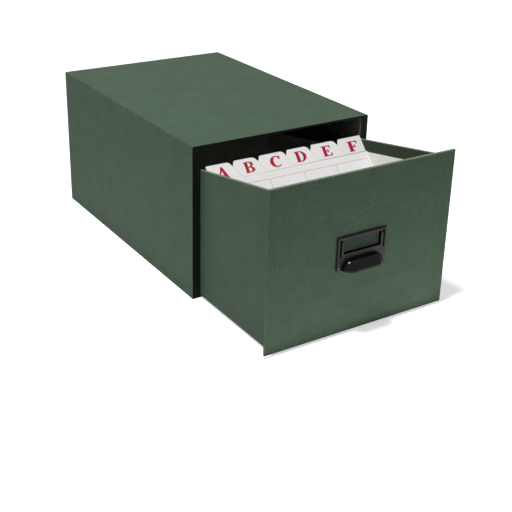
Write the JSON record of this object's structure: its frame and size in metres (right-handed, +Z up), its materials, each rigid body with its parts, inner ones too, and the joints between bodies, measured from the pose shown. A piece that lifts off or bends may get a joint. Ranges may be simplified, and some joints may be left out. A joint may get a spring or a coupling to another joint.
{
  "type": "index card drawer",
  "caption": "Paper-covered board box, open at the front, with a sliding card drawer that has a label holder with a cup pull and leaning lettered guide cards.",
  "frame": {"origin": "centre of the case's underside, on the surface it stands on", "axes": "+Z up; +Y from the open mouth to the back of the case, so the drawer comes out along -Y; +X to the right seen from the front"},
  "size_m": [0.282, 0.6031, 0.219],
  "materials": {
    "greyboard": "dense grey millboard, bare only where a board edge shows",
    "packer_board": "laminated board, hidden inside the case's side walls",
    "green_cover": "dark green covering paper with a fine mottle, dull sheen",
    "black_paper": "matt black binding paper",
    "dark_lining": "matt charcoal lining paper",
    "pale_lining": "matt off-white lining paper",
    "guide_stock": "smooth white manila board, red letters printed on the tabs",
    "card_stock": "smooth white card",
    "holder_steel": "satin dark grey enamel on pressed steel",
    "pull_steel": "glossy black enamel on drawn steel",
    "rivet_steel": "dark burnished steel"
  },
  "bodies": {
    "case": {"case_back_board": "greyboard", "case_back_lining": "dark_lining", "case_back_sheet": "green_cover", "case_base_sheet": "black_paper", "case_bottom_board": "greyboard", "case_cover_wrap": "green_cover", "case_floor_lining": "dark_lining", "case_left_board": "greyboard", "case_left_lining": "dark_lining", "case_left_packer": "packer_board", "case_mouth_binding": "black_paper", "case_right_board": "greyboard", "case_right_lining": "dark_lining", "case_right_packer": "packer_board", "case_top_board": "greyboard", "case_top_lining": "dark_lining"},
    "drawer": {"cup_pull": "pull_steel", "drawer_front_backing": "green_cover", "drawer_front_board": "greyboard", "drawer_front_cover": "green_cover", "guide_card_a": "guide_stock", "guide_card_b": "guide_stock", "guide_card_c": "guide_stock", "guide_card_d": "guide_stock", "guide_card_e": "guide_stock", "guide_card_f": "guide_stock", "index_cards": "card_stock", "label_holder": "holder_steel", "pull_rivets": "rivet_steel", "rivet_washers": "rivet_steel", "tray_floor_board": "greyboard", "tray_floor_lining": "pale_lining", "tray_front_cover": "green_cover", "tray_front_lining": "pale_lining", "tray_front_wall": "greyboard", "tray_left_cover": "green_cover", "tray_left_lining": "pale_lining", "tray_left_wall": "greyboard", "tray_rear_cover": "green_cover", "tray_rear_lining": "pale_lining", "tray_rear_wall": "greyboard", "tray_right_cover": "green_cover", "tray_right_lining": "pale_lining", "tray_right_wall": "greyboard", "tray_underside_sheet": "black_paper"}
  },
  "joints": [
    {"name": "drawer_slide", "type": "slide", "parent": "case", "child": "drawer", "axis": [0, -1, 0], "range_m": [-0.1717, 0.17]}
  ]
}
